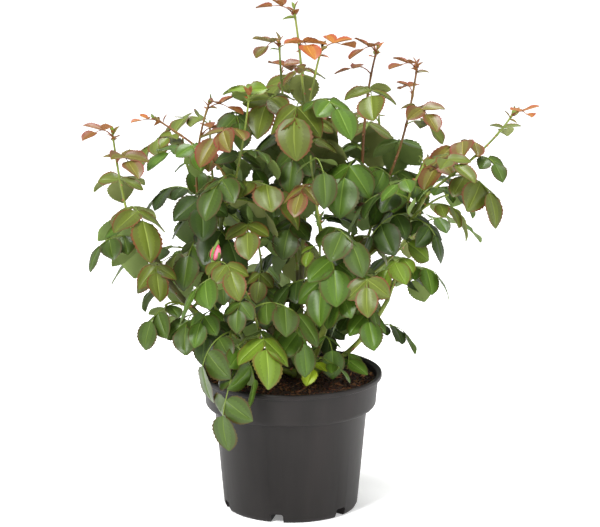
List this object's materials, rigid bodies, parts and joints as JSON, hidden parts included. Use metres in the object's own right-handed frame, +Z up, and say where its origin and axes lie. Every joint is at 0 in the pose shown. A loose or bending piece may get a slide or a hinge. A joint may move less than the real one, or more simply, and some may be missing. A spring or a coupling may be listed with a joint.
{
  "type": "potted rose bush",
  "caption": "Young bush rose in leaf, with a pink bud, in a round grower's pot: arching thorny canes, pinnate leaves and reddish young tips.",
  "frame": {"origin": "centre of the pot's flat underside", "axes": "+Z up, and -Y towards the front, where the shoot that hangs over the rim is"},
  "size_m": [0.5493, 0.4082, 0.6353],
  "materials": {
    "pot_plastic": "matte moulded plastic with faint upright streaks",
    "soil": "damp peat crumbs",
    "bark": "smooth green to brown cane bark with thorns",
    "green_stem": "smooth young green stem",
    "leaf": "satin leaf",
    "young_leaf": "glossy red-brown young leaf",
    "petal": "soft petal"
  },
  "bodies": {
    "root": {"pot": "pot_plastic", "soil": "soil", "crown": "bark", "cane_left": "bark", "cane_mid_left": "bark", "cane_centre": "bark", "cane_thick": "bark", "cane_right": "bark", "cane_front_left": "bark", "cane_right_low": "bark", "cane_back_left": "bark", "cane_back_right": "bark", "cane_back": "bark", "bough_centre": "green_stem", "bough_mid_left": "green_stem", "bough_right_mid": "green_stem", "bough_right": "green_stem", "shoot_left": "leaf", "shoot_low_left": "leaf", "spray_left": "young_leaf", "shoot_upper_left": "leaf", "shoot_cut_back": "leaf", "shoot_front_high": "leaf", "shoot_top_left": "leaf", "shoot_top": "young_leaf", "shoot_top_right": "leaf", "shoot_right_tall": "leaf", "shoot_red_stem": "young_leaf", "shoot_right": "young_leaf", "shoot_bronze": "leaf", "shoot_right_fall": "leaf", "shoot_right_back": "leaf", "shoot_bud": "leaf", "shoot_over_rim": "leaf", "shoot_front": "leaf", "shoot_middle": "leaf", "shoot_spent": "leaf", "shoot_green_bud": "leaf", "shoot_right_front": "leaf", "shoot_right_low": "leaf", "shoot_foot": "leaf", "shoot_low_middle": "leaf", "shoot_back_left": "leaf", "shoot_back_left_low": "leaf", "shoot_back": "leaf", "shoot_back_low": "leaf", "shoot_back_right_low": "leaf", "shoot_back_right": "leaf", "shoot_back_right_side": "leaf", "shoot_crest_back": "leaf", "shoot_left_back": "leaf"}
  },
  "joints": []
}
